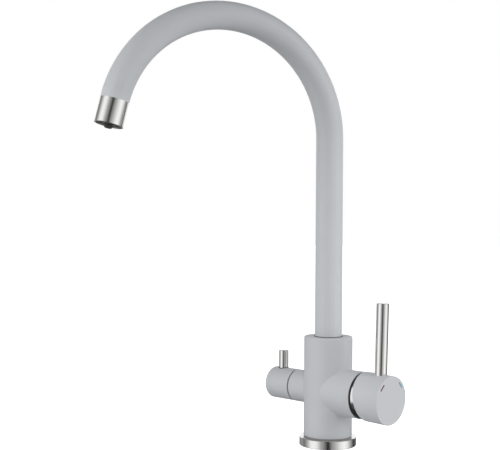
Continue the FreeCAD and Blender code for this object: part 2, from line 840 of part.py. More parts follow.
def grub_screw(name, radius, length):
    """Headless screw with a hexagon socket, standing along Z on its tip."""
    screw = turned_on_z(name, [
        ("0", "0"),
        (f"{radius} - screw_edge", "0"),
        (radius, "screw_edge"),
        (radius, length),
        ("0", length),
    ])
    socket = new_sketch(screw, "XY", ("0", "0", length))
    corners = []
    for number in range(6):
        angle = 60 * number
        corners.append((f"key_socket / cos(30deg) * cos({angle}deg)",
                        f"key_socket / cos(30deg) * sin({angle}deg)"))
    outline(socket, corners)
    extrude(screw, socket, "key_depth", cut=True)
    return screw


def make_filter_valve():
    """Quarter-turn ceramic valve of the filtered water, with its small handle."""
    disc_start = "filter_seat + filter_seal_thickness"
    moving_start = f"{disc_start} + filter_disc_thickness + disc_gap"
    moving_end = f"{moving_start} + filter_disc_thickness"
    flange_end = f"{moving_end} + filter_flange"
    turned_on_x("filter_headwork", [
        (disc_start, "filter_cavity"),
        (disc_start, "filter_bore - piece_play"),
        ("filter_thread_start", "filter_bore - piece_play"),
        ("filter_thread_start", "filter_thread"),
        ("headwork_front", "filter_thread"),
        ("headwork_front", "filter_cavity"),
        ("headwork_end", "filter_cavity"),
        ("headwork_end", "spindle_bore"),
        (f"{flange_end} + disc_gap", "spindle_bore"),
        (f"{flange_end} + disc_gap", "filter_cavity"),
    ], facing=-1)
    ways = [("0", "-filter_way_drop", "filter_disc_way"), ("0", "filter_disc_way_rise", "filter_disc_way")]
    for name, start, length, radius in (
            ("filter_seal", "filter_seat", "filter_seal_thickness", "filter_bore - 2 * piece_play"),
            ("filter_fixed_disc", disc_start, "filter_disc_thickness", "filter_disc_radius")):
        piece = turned_on_x(name, [
            (start, "0"),
            (start, radius),
            (f"{start} + {length}", radius),
            (f"{start} + {length}", "0"),
        ], facing=-1)
        holes = new_sketch(piece, "YZ", ("0", "0", f"{start} + {length}"))
        circles(holes, ways)
        extrude(piece, holes, length, cut=True)
    moving = turned_on_x("filter_moving_disc", [
        (moving_start, "0"),
        (moving_start, "filter_disc_radius"),
        (moving_end, "filter_disc_radius"),
        (moving_end, "0"),
    ], facing=-1)
    half = new_sketch(moving, "YZ", ("0", "0", moving_start))
    box_outline(half, ("0", "0"), "riser_radius", "2 * filter_disc_radius - riser_radius")
    extrude(moving, half, "filter_disc_thickness / 2", cut=True, backwards=True)
    turned_on_x("filter_spindle", [
        (moving_end, "0"),
        (moving_end, "filter_disc_radius"),
        (flange_end, "filter_disc_radius"),
        (flange_end, "spindle_radius"),
        ("spindle_end", "spindle_radius"),
        ("spindle_end", "0"),
    ], facing=-1)
    turned_on_x("filter_slide_ring", [
        ("filter_branch_end", "filter_thread"),
        ("filter_branch_end", "joint_ring_radius"),
        ("filter_handle_start - disc_gap", "joint_ring_radius"),
        ("filter_handle_start - disc_gap", "filter_thread"),
    ], facing=-1)
    make_filter_handle()


def make_filter_handle():
    handle = turned_on_x("filter_handle", [
        ("filter_handle_start", "filter_handle_cavity"),
        ("filter_handle_start", "filter_radius - branch_edge"),
        ("filter_handle_start + branch_edge", "filter_radius"),
        ("filter_handle_end - filter_handle_round", "filter_radius"),
        ("filter_handle_end", "filter_radius - filter_handle_round", "-filter_handle_round"),
        ("filter_handle_end", "0"),
        ("spindle_end", "0"),
        ("spindle_end", "spindle_radius"),
        ("filter_cavity_end", "spindle_radius"),
        ("filter_cavity_end", "filter_handle_cavity"),
    ], facing=-1)
    socket = new_sketch(handle, "XY", ("0", "0", "filter_rod_bottom"))
    circles(socket, [("filter_rod_place", "0", "filter_rod_radius")])
    extrude(handle, socket, "filter_radius", cut=True, backwards=True)
    grub = new_sketch(handle, "XY", ("0", "0", "-spindle_radius"))
    circles(grub, [("filter_grub_place", "0", "filter_grub_radius")])
    extrude(handle, grub, "filter_radius", cut=True)
    rod = turned_on_z("filter_lever_rod", [
        ("0", "filter_rod_bottom"),
        ("filter_rod_radius", "filter_rod_bottom"),
        ("filter_rod_radius", "filter_rod_top - rod_edge"),
        ("filter_rod_radius - rod_edge", "filter_rod_top"),
        ("0", "filter_rod_top"),
    ])
    place(rod, ("-filter_rod_place", "0", "handle_height"))
    screw = grub_screw("filter_handle_screw", "filter_grub_radius", "grub_length")
    place(screw, ("-filter_grub_place", "0", "handle_height - spindle_radius"), ("0", "0", "180"))


def swivel_profile():
    """Foot of the spout from its bottom up, with grooves for two slide rings, two seals and the screw."""
    outer, floor = "tube_radius", "tube_radius - groove_depth"
    points = [("foot_bore", "foot_bottom"), (outer, "foot_bottom")]
    grooves = (
        ("slide_ring_low", "slide_ring_low + slide_ring_height"),
        ("o_ring_low - o_ring_groove / 2", "o_ring_low + o_ring_groove / 2"),
        ("lock_groove - lock_groove_height / 2", "lock_groove + lock_groove_height / 2"),
        ("o_ring_high - o_ring_groove / 2", "o_ring_high + o_ring_groove / 2"),
        ("slide_ring_high", "slide_ring_high + slide_ring_height"),
    )
    for low, high in grooves:
        points += [(outer, low), (floor, low), (floor, high), (outer, high)]
    spigot = "tube_radius - tube_wall"
    points += [(outer, "tube_foot"), (spigot, "tube_foot"), (spigot, "foot_top"), ("foot_bore", "foot_top")]
    return points


def pipe(name, foot, outer, inner, tail=None):
    """Tube along the spout's centre line: up, round the arc, and straight on for the tail."""
    body = new_body(name)
    path = new_sketch(body, "YZ")
    centre = Vector(-value("arc_radius"), value("arc_height"), 0)
    sweep = math.radians(value("arc_sweep"))
    path.addGeometry(Part.LineSegment(Vector(0, value(foot), 0), Vector(0, centre.y, 0)))
    path.addGeometry(Part.ArcOfCircle(Part.Circle(centre, Vector(0, 0, 1), -centre.x), 0, sweep))
    path.addConstraint(Sketcher.Constraint("Coincident", 0, 2, 1, 1))
    fix(path, "DistanceX", (-1, 1, 0, 1), "0")
    fix(path, "DistanceY", (-1, 1, 0, 1), foot)
    fix(path, "DistanceX", (-1, 1, 1, 3), "-arc_radius")
    fix(path, "DistanceY", (-1, 1, 1, 3), "arc_height")
    fix(path, "DistanceX", (-1, 1, 0, 2), "0")
    fix(path, "DistanceY", (-1, 1, 0, 2), "arc_height")
    fix(path, "DistanceX", (-1, 1, 1, 2), "-arc_radius * (1 - cos(arc_sweep * 1deg))")
    if tail:
        tip = path.getPoint(1, 2)
        way = Vector(-math.sin(sweep), math.cos(sweep), 0) * value(tail)
        path.addGeometry(Part.LineSegment(tip, tip + way))
        path.addConstraint(Sketcher.Constraint("Coincident", 1, 2, 2, 1))
        fix(path, "DistanceX", (2, 1, 2, 2), f"-{tail} * sin(arc_sweep * 1deg)")
        fix(path, "DistanceY", (2, 1, 2, 2), f"{tail} * cos(arc_sweep * 1deg)")
    ring = new_sketch(body, "XY", ("0", "0", foot))
    circles(ring, [("0", "0", outer), ("0", "0", inner)])
    feature = body.newObject("PartDesign::AdditivePipe", "swept")
    feature.Profile = ring
    feature.Spine = (path, [f"Edge{number + 1}" for number in range(path.GeometryCount)])
    place(body, turn=("spout_swing", "0", "0"))
    doc.recompute()
    return body


def make_spout():
    """Swan-neck tube on its swivel foot, with the filtered water's own tube inside."""
    pipe("spout_tube", "tube_foot", "tube_radius", "tube_radius - tube_wall")
    pipe("inner_water_tube", "water_tube_foot", "water_tube_radius",
         "water_tube_radius - water_tube_wall", "nozzle_seat")
    turned_on_z("spout_foot", swivel_profile())
    floor = "tube_radius - groove_depth"
    slide_rings = []
    for name, low in (("low_slide_ring", "slide_ring_low"), ("high_slide_ring", "slide_ring_high")):
        ring = turned_on_z(name, [
            (floor, low),
            ("slide_ring_radius", low),
            ("slide_ring_radius", f"{low} + slide_ring_height"),
            (floor, f"{low} + slide_ring_height"),
        ])
        slide_rings.append(ring)
    group("spout_slide_rings", slide_rings)
    seals = rings("foot_seal", ("o_ring_low", "o_ring_high"), f"{floor} + o_ring_radius", "o_ring_radius")
    group("spout_o_rings", seals)
    small = rings("riser_seal", ("small_o_ring_height",), "water_tube_radius + small_o_ring", "small_o_ring")
    group("inner_tube_o_ring", small)
    screw = grub_screw("spout_grub_screw", "grub_radius", "lock_screw_length")
    place(screw, ("0", "lock_screw_reach", "lock_groove"), ("0", "0", "-90"))


def at_tip(body):
    """Set a body's own Z on the outflow at the end of the spout's arc."""
    level = "-arc_radius * (1 - cos(arc_sweep * 1deg))"
    place(
        body,
        (f"-sin(spout_swing * 1deg) * ({level})", f"cos(spout_swing * 1deg) * ({level})",
         "arc_height + arc_radius * sin(arc_sweep * 1deg)"),
        ("spout_swing", "0", "arc_sweep"),
    )


def make_aerator():
    """Metal sleeve at the spout's end, with the jet former and the filtered water's nozzle."""
    housing = turned_on_z("aerator_housing", [
        ("aerator_bore", "-aerator_spigot"),
        ("tube_radius - tube_wall", "-aerator_spigot"),
        ("tube_radius - tube_wall", "0"),
        ("tube_radius", "0"),
        ("tube_radius", "aerator_length - aerator_edge"),
        ("tube_radius - aerator_edge", "aerator_length"),
        ("aerator_recess", "aerator_length"),
        ("aerator_recess", "aerator_ledge"),
        ("aerator_bore", "aerator_ledge"),
    ])
    washer = turned_on_z("aerator_washer", [
        ("washer_bore", "aerator_ledge"),
        ("aerator_recess", "aerator_ledge"),
        ("aerator_recess", "aerator_ledge + washer_thickness"),
        ("washer_bore", "aerator_ledge + washer_thickness"),
    ])
    insert = turned_on_z("aerator_insert", [
        ("nozzle_radius", "insert_top"),
        ("aerator_recess", "insert_top"),
        ("aerator_recess", "insert_face"),
        ("nozzle_radius", "insert_face"),
    ])
    jet = new_sketch(insert, "XY", ("0", "0", "insert_face"))
    circles(jet, [("jet_circle", "0", "jet_radius")])
    first = extrude(insert, jet, "insert_face - insert_top", cut=True)
    pattern = insert.newObject("PartDesign::PolarPattern", "jets")
    pattern.Originals = [first]
    pattern.Axis = (jet, ["N_Axis"])
    pattern.Angle = 360
    pattern.Occurrences = JET_HOLES
    insert.Tip = pattern
    doc.recompute()
    nozzle = turned_on_z("inner_nozzle", [
        ("water_tube_radius", "nozzle_top"),
        ("nozzle_flange", "nozzle_top"),
        ("nozzle_flange", "nozzle_shoulder"),
        ("nozzle_radius", "nozzle_shoulder"),
        ("nozzle_radius", "nozzle_end - nozzle_edge"),
        ("nozzle_radius - nozzle_edge", "nozzle_end"),
        ("nozzle_bore", "nozzle_end"),
        ("nozzle_bore", "nozzle_seat"),
        ("water_tube_radius", "nozzle_seat"),
    ])
    for body in (housing, washer, insert, nozzle):
        at_tip(body)


NODES = (
    "body", "inlet_sockets", "body_seal", "base_ring", "base_gasket", "mounting_shank",
    "rubber_washer", "steel_washer", "lock_nut",
    "spout_tube", "spout_foot", "spout_slide_rings", "spout_o_rings", "spout_grub_screw",
    "inner_water_tube", "inner_tube_o_ring",
    "aerator_housing", "aerator_washer", "aerator_insert", "inner_nozzle",
    "cartridge_base", "cartridge_seals", "cartridge_housing", "fixed_ceramic_disc", "moving_ceramic_disc",
    "disc_carrier", "cartridge_rotor", "stem_pin", "cartridge_stem", "cartridge_nut", "dome_cover",
    "handle_hub", "lever_rod", "handle_grub_screw", "hot_mark", "cold_mark",
    "filter_headwork", "filter_seal", "filter_fixed_disc", "filter_moving_disc", "filter_spindle",
    "filter_slide_ring", "filter_handle", "filter_lever_rod", "filter_handle_screw",
)


def check():
    """Stop at any failed object and at any sub-part without a valid solid."""
    for item in doc.Objects:
        if "Invalid" in item.State or "Error" in item.State:
            raise RuntimeError(f"{item.Label}: {item.State}")
    for name in NODES:
        shape = doc.getObjectsByLabel(name)[0].Shape
        if shape.isNull() or not shape.isValid() or not shape.Solids:
            raise RuntimeError(f"{name}: not a valid solid")


make_body()
make_inlet_sockets()
make_deck_fixing()
make_cartridge()
make_handle()
make_filter_valve()
make_spout()
make_aerator()
doc.recompute()
check()
os.makedirs("parts", exist_ok=True)
for name in NODES:
    doc.getObjectsByLabel(name)[0].Shape.exportStep(f"parts/{name}.step")
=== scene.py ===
"""Looks of a three-way kitchen mixer tap: grey coat with brushed nickel fittings, in a white studio.

Lengths are in metres and angles in degrees unless a name says otherwise.
"""
import json
import math

import bmesh
import bpy
from mathutils import Matrix, Vector


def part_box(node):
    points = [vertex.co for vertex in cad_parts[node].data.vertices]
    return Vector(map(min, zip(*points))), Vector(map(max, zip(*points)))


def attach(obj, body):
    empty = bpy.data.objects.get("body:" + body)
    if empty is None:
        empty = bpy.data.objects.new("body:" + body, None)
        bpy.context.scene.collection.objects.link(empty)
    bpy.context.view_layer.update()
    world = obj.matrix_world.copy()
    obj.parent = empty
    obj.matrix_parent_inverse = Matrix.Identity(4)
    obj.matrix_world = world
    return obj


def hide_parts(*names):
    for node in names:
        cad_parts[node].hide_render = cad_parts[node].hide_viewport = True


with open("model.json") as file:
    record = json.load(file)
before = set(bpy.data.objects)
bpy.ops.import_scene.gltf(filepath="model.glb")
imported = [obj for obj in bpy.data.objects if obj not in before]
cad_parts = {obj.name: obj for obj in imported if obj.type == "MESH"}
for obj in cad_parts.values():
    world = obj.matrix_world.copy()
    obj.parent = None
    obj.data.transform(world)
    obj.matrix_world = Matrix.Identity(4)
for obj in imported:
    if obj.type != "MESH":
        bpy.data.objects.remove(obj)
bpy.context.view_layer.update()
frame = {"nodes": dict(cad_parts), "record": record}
nodes = frame["nodes"]

# camera of the photograph
CAMERA_PLACE = (0.6153, -0.7320, 0.2143)
CAMERA_YAW = 44.45
CAMERA_PITCH = -0.67
CAMERA_ROLL = 0.35
CAMERA_LENS_MM = 74.04
CAMERA_SENSOR_MM = 36.0
# side that the camera looks from, in degrees round from +X
CAMERA_SIDE = CAMERA_YAW - 90.0

# base colours
COAT = (0.485, 0.5, 0.52)
# painted shadow: near-black for the end faces of the body's branches, standing in for the shade in the
# gaps there
SHADOW_GAP_COLOUR = (0.045, 0.045, 0.047)
NICKEL = (0.86, 0.855, 0.84)
CHROME = (0.78, 0.79, 0.80)
BRASS = (0.70, 0.52, 0.27)
STEEL = (0.58, 0.58, 0.58)
RUBBER = (0.03, 0.03, 0.03)
# grey of the body's seal, chosen to stand in for the shadow line at the body's foot: partly the seal's own
# colour, partly painted shadow
SEAL_AND_SHADOW_LINE = (0.23, 0.23, 0.23)
WHITE_PLASTIC = (0.80, 0.80, 0.78)
BLACK_PLASTIC = (0.02, 0.02, 0.02)
JET_PLASTIC = (0.06, 0.06, 0.058)
CERAMIC = (0.80, 0.79, 0.74)
HOT_RED = (0.10, 0.0, 0.025)
COLD_BLUE = (0.09, 0.28, 0.33)

# fineness of each pattern, in cycles per metre
CLOUD_SCALE = 60.0
PEEL_SCALE = 1100.0
BRUSH_SCALE = 90.0
SPECKLE_SCALE = 700.0
# how much finer the brushing is along each axis, which draws it into lines round Z
BRUSH_LINES = (1.0, 1.0, 40.0)
RELIEF_DEPTH = 0.0001
COAT_ROUGHNESS = 0.45
LOWEST_ROUGHNESS = 0.02
# how sharp an edge is where wear begins to show, and where it is full
EDGE_POINTINESS = (0.53, 0.62)
# how far the painted shadow reaches back from the ends of the body's branches
SHADOW_GAP_DEPTH = 0.00002

# slots whose pieces mirror enough to show how their faces are joined, and the angle that stays an edge
METALS = ("brushed_nickel", "polished_chrome", "brass", "steel")
JOIN_DISTANCE = 0.0000001
EDGE_ANGLE = 30.0
# angle that stays an edge on the pieces made here
NEW_EDGE_ANGLE = 40.0

# dark rubber ring round the spout's foot, there as painted shadow for the shade line at the foot: radius,
# and height above the body's top face
SPOUT_SHADOW_RING_OUTLINE = (
    (0.01254, -0.00080),
    (0.01286, -0.00080),
    (0.01286, 0.00001),
    (0.01315, 0.00001),
    (0.01330, 0.00015),
    (0.01322, 0.00038),
    (0.01298, 0.00050),
    (0.01268, 0.00050),
    (0.01254, 0.00038),
)
# dark rubber ring round the short lever's foot, there as painted shadow for the shade in the gap at the
# foot: distance from the lever's axis, and lift off the handle
LEVER_SHADOW_RING_OUTLINE = (
    (0.00452, 0.00002),
    (0.00486, 0.00002),
    (0.00486, 0.00040),
    (0.00474, 0.00055),
    (0.00452, 0.00055),
)
RING_SEGMENTS = 96

# threaded shank, M33 x 1.5, with its heights from the deck face and the length of the lead at its tail
THREAD_RADIUS = 0.0165
THREAD_PITCH = 0.0015
THREAD_DEPTH = 0.00085
THREAD_TOP = -0.0005
THREAD_END = -0.0491
THREAD_SEGMENTS = 72
# one pitch of the thread: share of the pitch, and depth below the crest
THREAD_OUTLINE = (
    (0.00, 0.0),
    (0.12, 0.0),
    (0.52, THREAD_DEPTH),
    (0.66, THREAD_DEPTH),
)
SHANK_BORE = 0.0135
SHANK_TOP = 0.0145
SHANK_END = -0.058
SHANK_TAIL_RADIUS = 0.016
SHANK_LEAD = 0.0009
MERGE_DISTANCE = 0.000002

# enamel bars on the handle's end face: CAD node, slot, and degrees round from the handle's top
MARKS = (
    ("hot_mark", "hot_red", 45.5),
    ("cold_mark", "cold_blue", -45.5),
)
MARK_LENGTH = 0.0068
# how far the middle of a CAD mark lies below the handle's end face
MARK_SINK = 0.00015
# outline across a bar, its foot in a pocket: outwards from the handle's axis, and height off the face
MARK_OUTLINE = (
    (-0.00055, -0.0004),
    (0.00055, -0.0004),
    (0.00055, 0.0),
    (0.00085, 0.0),
    (0.00085, 0.00006),
    (0.00081, 0.0001),
    (-0.00056, 0.0001),
    (-0.0006, 0.00006),
    (-0.0006, 0.0),
    (-0.00055, 0.0),
)
# lean of the handle at rest, about Y
HANDLE_TILT = 1.43

# studio
WHITE = (1.0, 1.0, 1.0, 1.0)
FLOOR_COLOUR = (0.9, 0.9, 0.9, 1.0)
FLOOR_ROUGHNESS = 0.9
FLOOR_RADIUS = 6.0
FLOOR_SEGMENTS = 96
# light that the floor adds for the camera alone, so that it shows white
FLOOR_GLOW = 0.86
DECK_HOLE_RADIUS = 0.0172
ROOM_LIGHT = 0.364
# name, height aimed at, distance, degrees from the camera's side, degrees up, size, watts, beam in degrees
LAMPS = (
    ("left_box", 0.2, 2.07, -80.0, 8.0, 1.4, 12.7, 180.0),
    ("right_box", 0.2, 2.07, 75.0, 8.0, 1.4, 23.9, 180.0),
    ("low_left", 0.05, 0.8, -50.0, 38.0, 0.3, 0.165, 55.0),
    ("low_front", 0.05, 0.8, 0.0, 38.0, 0.3, 0.1, 55.0),
    ("low_right", 0.05, 0.8, 50.0, 38.0, 0.3, 0.1, 55.0),
)
# brightness that metal sees round the horizon, by the angle from the camera's side
BANDS = (
    (-180.0, 0.28),
    (-144.0, 0.28),
    (-125.0, 0.30),
    (-116.0, 0.17),
    (-108.0, 0.24),
    (-98.0, 0.38),
    (-90.0, 0.55),
    (-83.0, 0.76),
    (-74.0, 0.98),
    (-56.0, 1.00),
    (-47.0, 0.87),
    (-38.0, 0.63),
    (-33.0, 0.45),
    (-21.0, 0.31),
    (-12.0, 0.15),
    (-5.0, 0.03),
    (0.0, 0.03),
    (5.0, 0.12),
    (11.0, 0.28),
    (25.0, 0.46),
    (33.0, 0.59),
    (42.0, 0.75),
    (52.0, 0.93),
    (64.0, 1.02),
    (73.0, 1.00),
    (81.0, 0.88),
    (88.0, 0.74),
    (94.0, 0.55),
    (106.0, 0.34),
    (115.0, 0.14),
    (123.0, 0.05),
    (139.0, 0.12),
)
WALL_DISTANCE = 2.5
WALL_SEGMENTS = 96
# heights of the wall's foot, its window's lower and upper edge, and its top
WALL_HEIGHTS = (-3.0, 0.1, 1.2, 4.0)
# degrees round from the camera's side where the window behind the tap begins
WINDOW_ANGLE = 135.0
# heights between which the wall goes from dark to full brightness, and what is left of it in the dark
BOTTOM_FADE = (-1.9, -0.9)
BOTTOM_LEVEL = 0.09
TOP_FADE = (2.6, 1.9)
TOP_LEVEL = 0.3


def linked(tree, start, end):
    """Join one node's output to another's input."""
    tree.links.new(start, end)


def new_material(name):
    """Principled material with its node tree, ready to be wired."""
    material = bpy.data.materials.new(name)
    material.use_nodes = True
    tree = material.node_tree
    shader = tree.nodes["Principled BSDF"]
    return material, tree, shader


def add(tree, kind, **settings):
    """Add a shader node. Settings name its attributes, or its inputs when no attribute fits."""
    node = tree.nodes.new(kind)
    for key, setting in settings.items():
        if hasattr(node, key):
            setattr(node, key, setting)
        else:
            node.inputs[key.replace("_", " ")].default_value = setting
    return node


def noise(tree, place, scale, detail):
    """Noise over a piece, from the place of a point on it."""
    texture = add(tree, "ShaderNodeTexNoise", Scale=scale, Detail=detail)
    linked(tree, place, texture.inputs["Vector"])
    return texture.outputs["Fac"]


def scaled(colour, factor):
    """Colour made lighter or darker, with full opacity."""
    return (*[min(part * factor, 1.0) for part in colour], 1.0)


def mottled(tree, pattern, colour, amount):
    """Colour that swings a little round its mean with a pattern."""
    mix = add(tree, "ShaderNodeMixRGB")
    mix.inputs["Color1"].default_value = scaled(colour, 1.0 - amount)
    mix.inputs["Color2"].default_value = scaled(colour, 1.0 + amount)
    linked(tree, pattern, mix.inputs["Fac"])
    return mix.outputs["Color"]


def worn_edges(tree, base, colour, factor, strength):
    """Lighter or brighter colour where an edge stands out, as handling leaves it."""
    shape = add(tree, "ShaderNodeNewGeometry")
    edges = add(tree, "ShaderNodeMapRange")
    edges.inputs["From Min"].default_value = EDGE_POINTINESS[0]
    edges.inputs["From Max"].default_value = EDGE_POINTINESS[1]
    edges.inputs["To Max"].default_value = strength
    mix = add(tree, "ShaderNodeMixRGB")
    mix.inputs["Color2"].default_value = scaled(colour, factor)
    linked(tree, shape.outputs["Pointiness"], edges.inputs["Value"])
    linked(tree, edges.outputs["Result"], mix.inputs["Fac"])
    linked(tree, base, mix.inputs["Color1"])
    return mix.outputs["Color"]


def painted_shadow_beyond(tree, place, finish, limits):
    """Painted shadow: near-black faces farther along X than two limits, standing in for the shade in the
    gaps at the ends of the body's branches.
    """
    parts = add(tree, "ShaderNodeSeparateXYZ")
    shaded = add(tree, "ShaderNodeMath", operation="ADD")
    shadowed = add(tree, "ShaderNodeMixRGB")
    shadowed.inputs["Color2"].default_value = (*SHADOW_GAP_COLOUR, 1.0)
    linked(tree, place, parts.inputs["Vector"])
    for socket, limit, operation in zip(shaded.inputs, limits, ("LESS_THAN", "GREATER_THAN")):
        beyond = add(tree, "ShaderNodeMath", operation=operation)
        beyond.inputs[1].default_value = limit
        linked(tree, parts.outputs["X"], beyond.inputs[0])
        linked(tree, beyond.outputs["Value"], socket)
    linked(tree, shaded.outputs["Value"], shadowed.inputs["Fac"])
    linked(tree, finish, shadowed.inputs["Color1"])
    return shadowed.outputs["Color"]


def uneven_gloss(tree, shader, pattern, roughness, swing):
    """Roughness that swings round its mean with a pattern."""
    gloss = add(tree, "ShaderNodeMapRange")
    gloss.inputs["To Min"].default_value = max(roughness - swing, LOWEST_ROUGHNESS)
    gloss.inputs["To Max"].default_value = roughness + swing
    linked(tree, pattern, gloss.inputs["Value"])
    linked(tree, gloss.outputs["Result"], shader.inputs["Roughness"])


def relief(tree, shader, pattern, strength):
    """Fine bump from a pattern, as deep as RELIEF_DEPTH at full strength."""
    bump = add(tree, "ShaderNodeBump", Strength=strength, Distance=RELIEF_DEPTH)
    linked(tree, pattern, bump.inputs["Height"])
    linked(tree, bump.outputs["Normal"], shader.inputs["Normal"])


def coat_material(name, limits=None):
    """Matte baked coat: a faint cloudiness, the peel of sprayed paint, thinner colour on the edges, and,
    given limits, painted shadow on the faces beyond them.
    """
    material, tree, shader = new_material(name)
    place = add(tree, "ShaderNodeTexCoord").outputs["Object"]
    clouds = noise(tree, place, CLOUD_SCALE, detail=3.0)
    peel = noise(tree, place, PEEL_SCALE, detail=3.0)
    finish = mottled(tree, clouds, COAT, amount=0.015)
    finish = worn_edges(tree, finish, COAT, factor=1.2, strength=0.35)
    if limits:
        finish = painted_shadow_beyond(tree, place, finish, limits)
    linked(tree, finish, shader.inputs["Base Color"])
    uneven_gloss(tree, shader, clouds, COAT_ROUGHNESS, swing=0.04)
    relief(tree, shader, peel, strength=0.12)
    return material


def metal_material(name, colour, roughness, grain, spread=0.0):
    """Metal with fine lines round its turning axis, which draw its reflections out across them."""
    material, tree, shader = new_material(name)
    shader.inputs["Metallic"].default_value = 1.0
    place = add(tree, "ShaderNodeTexCoord")
    stretch = add(tree, "ShaderNodeMapping")
    stretch.inputs["Scale"].default_value = BRUSH_LINES
    linked(tree, place.outputs["Object"], stretch.inputs["Vector"])
    brushed = noise(tree, stretch.outputs["Vector"], BRUSH_SCALE, detail=4.0)
    finish = mottled(tree, brushed, colour, amount=0.03)
    finish = worn_edges(tree, finish, colour, factor=1.12, strength=0.5)
    linked(tree, finish, shader.inputs["Base Color"])
    uneven_gloss(tree, shader, brushed, roughness, swing=0.2 * roughness)
    if spread:
        round_axis = add(tree, "ShaderNodeTangent", direction_type="RADIAL", axis="Z")
        shader.inputs["Anisotropic"].default_value = spread
        shader.inputs["Anisotropic Rotation"].default_value = 0.25
        linked(tree, round_axis.outputs["Tangent"], shader.inputs["Tangent"])
    relief(tree, shader, brushed, strength=grain)
    return material


def plain_material(name, colour, roughness):
    """Moulded plastic, rubber, enamel or ceramic: a fine grain, with paler edges where it is handled."""
    material, tree, shader = new_material(name)
    place = add(tree, "ShaderNodeTexCoord")
    speckle = noise(tree, place.outputs["Object"], SPECKLE_SCALE, detail=3.0)
    finish = mottled(tree, speckle, colour, amount=0.04)
    finish = worn_edges(tree, finish, colour, factor=1.3, strength=0.4)
    linked(tree, finish, shader.inputs["Base Color"])
    uneven_gloss(tree, shader, speckle, roughness, swing=0.05)
    relief(tree, shader, speckle, strength=0.05)
    return material


MATERIALS = {
    "grey_coat": coat_material("grey_coat"),
    "brushed_nickel": metal_material("brushed_nickel", NICKEL, roughness=0.14, grain=0.06, spread=0.8),
    "polished_chrome": metal_material("polished_chrome", CHROME, roughness=0.05, grain=0.01),
    "brass": metal_material("brass", BRASS, roughness=0.3, grain=0.12),
    "steel": metal_material("steel", STEEL, roughness=0.3, grain=0.12),
    "rubber": plain_material("rubber", RUBBER, roughness=0.7),
    "white_plastic": plain_material("white_plastic", WHITE_PLASTIC, roughness=0.4),
    "black_plastic": plain_material("black_plastic", BLACK_PLASTIC, roughness=0.5),
    "technical_ceramic": plain_material("technical_ceramic", CERAMIC, roughness=0.2),
    "hot_red": plain_material("hot_red", HOT_RED, roughness=0.4),
    "cold_blue": plain_material("cold_blue", COLD_BLUE, roughness=0.4),
}


def smooth_joins(piece):
    """Shade a piece smoothly right round, over the joins of its faces, and leave its edges sharp."""
    piece.modifiers.new("join", "WELD").merge_threshold = JOIN_DISTANCE
    piece.modifiers.new("edges", "EDGE_SPLIT").split_angle = math.radians(EDGE_ANGLE)
    piece.modifiers.new("normals", "WEIGHTED_NORMAL")


def dress_cad_nodes():
    """Give every node the material of its slot, and some a finish of their own within it."""
    for part in frame["record"]["subparts"]:
        mesh = nodes[part["node"]].data
        mesh.materials.clear()
        mesh.materials.append(MATERIALS[part["material_slot"]])
        if part["material_slot"] in METALS:
            smooth_joins(nodes[part["node"]])
    # painted shadow on the end faces of the body's branches, where they meet the handles
    low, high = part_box("body")
    limits = (low[0] + SHADOW_GAP_DEPTH, high[0] - SHADOW_GAP_DEPTH)
    satin = metal_material("satin_nickel", NICKEL, roughness=0.22, grain=0.1, spread=0.5)
    jet_plastic = plain_material("jet_plastic", JET_PLASTIC, roughness=0.45)
    own_finishes = {
        "body": coat_material("casting_coat_shaded_ends", limits),
        "aerator_housing": satin,
        "aerator_insert": jet_plastic,
        "inner_nozzle": jet_plastic,
        # the seal's grey stands in for the shadow line at the body's foot: partly its own colour, partly
        # painted shadow
        "body_seal": plain_material("seal_and_shadow_line", SEAL_AND_SHADOW_LINE, roughness=0.6),
    }
    for name, material in own_finishes.items():
        nodes[name].data.materials[0] = material


def new_piece(name, form):
    """Object of a finished form, with soft shading across its gentle edges."""
    mesh = bpy.data.meshes.new(name)
    form.to_mesh(mesh)
    form.free()
    piece = bpy.data.objects.new(name, mesh)
    bpy.context.scene.collection.objects.link(piece)
    mesh.shade_smooth()
    mesh.set_sharp_from_angle(angle=math.radians(NEW_EDGE_ANGLE))
    return piece


def angles(segments):
    """Angles in radians of the steps round a ring."""
    return [math.tau * number / segments for number in range(segments)]


def circle(form, radius, height, segments):
    """Points of a level circle round Z."""
    return [form.verts.new((radius * math.cos(a), radius * math.sin(a), height)) for a in angles(segments)]


def bridge(form, here, there, left_open=()):
    """Faces between two closed rows of points, but for the steps that are left open."""
    for number in range(len(here)):
        following = (number + 1) % len(here)
        if number not in left_open:
            form.faces.new((here[number], here[following], there[following], there[number]))


def closed_ring(name, outlines):
    """Ring that passes through closed outlines of points, one at each step round it."""
    form = bmesh.new()
    turns = [[form.verts.new(point) for point in outline] for outline in outlines]
    for here, there in zip(turns, turns[1:] + turns[:1]):
        bridge(form, here, there)
    bmesh.ops.recalc_face_normals(form, faces=form.faces)
    return new_piece(name, form)


def make_spout_shadow_ring():
    """Dark rubber ring where the spout comes out of the body, with a lip that goes down into the gap:
    painted shadow for the shade line at the spout's foot.
    """
    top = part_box("body")[1][2]
    outlines = []
    for angle in angles(RING_SEGMENTS):
        outlines.append([(r * math.cos(angle), r * math.sin(angle), top + z) for r, z in SPOUT_SHADOW_RING_OUTLINE])
    ring = closed_ring("spout_shadow_ring", outlines)
    ring.data.materials.append(MATERIALS["rubber"])
    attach(ring, "root")


